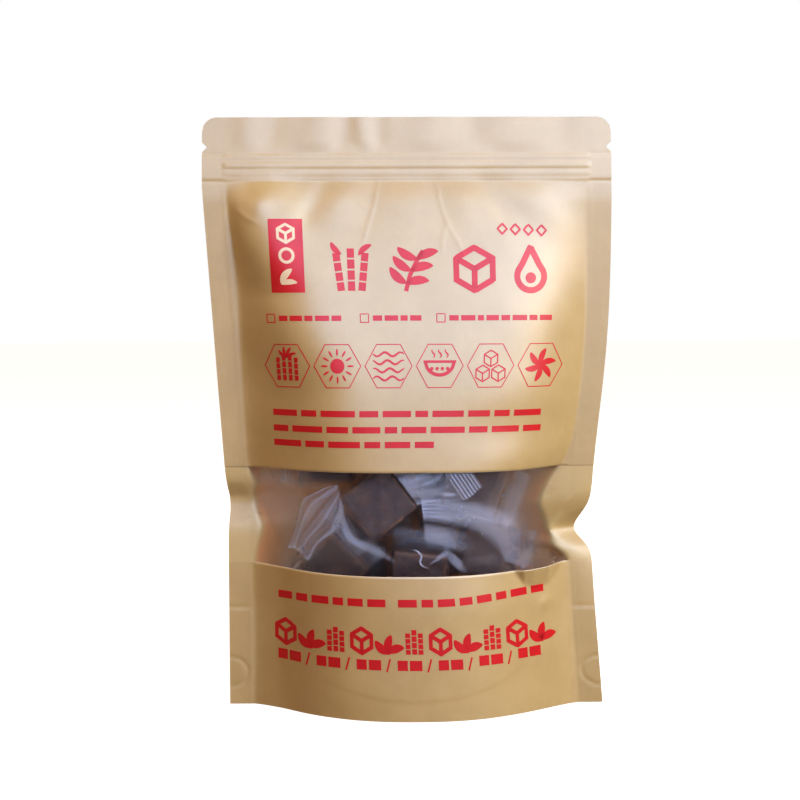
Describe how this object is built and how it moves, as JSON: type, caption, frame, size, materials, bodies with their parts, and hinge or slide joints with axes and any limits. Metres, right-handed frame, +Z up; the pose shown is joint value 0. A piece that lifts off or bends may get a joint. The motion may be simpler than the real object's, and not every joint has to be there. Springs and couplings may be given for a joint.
{
  "type": "pouch of sugar",
  "caption": "Filled stand-up kraft paper pouch with a press-to-close zip, a bottom gusset and a clear window strip that shows wrapped sugar blocks.",
  "frame": {"origin": "on the surface that the pouch stands on, under the middle of its bounding box", "axes": "+Z up, from the base to the top edge; the printed front with the window faces -Y; +X to the viewer's right"},
  "size_m": [0.1796, 0.0668, 0.26],
  "materials": {
    "kraft_paper": "brown kraft paper laminated with plastic, satin",
    "window_film": "clear film with a slight haze",
    "brown_sugar": "dark brown sugar, dense, in a thin clear wrapper",
    "red_print": "red ink on paper",
    "pale_print": "pale ink on paper",
    "clear_wrapper": "thin clear wrapper film, creased"
  },
  "bodies": {
    "root": {"pouch": "kraft_paper", "window_film": "window_film", "sugar_block_1": "brown_sugar", "sugar_block_2": "brown_sugar", "sugar_block_3": "brown_sugar", "sugar_block_4": "brown_sugar", "sugar_block_5": "brown_sugar", "sugar_block_6": "brown_sugar"}
  },
  "joints": []
}
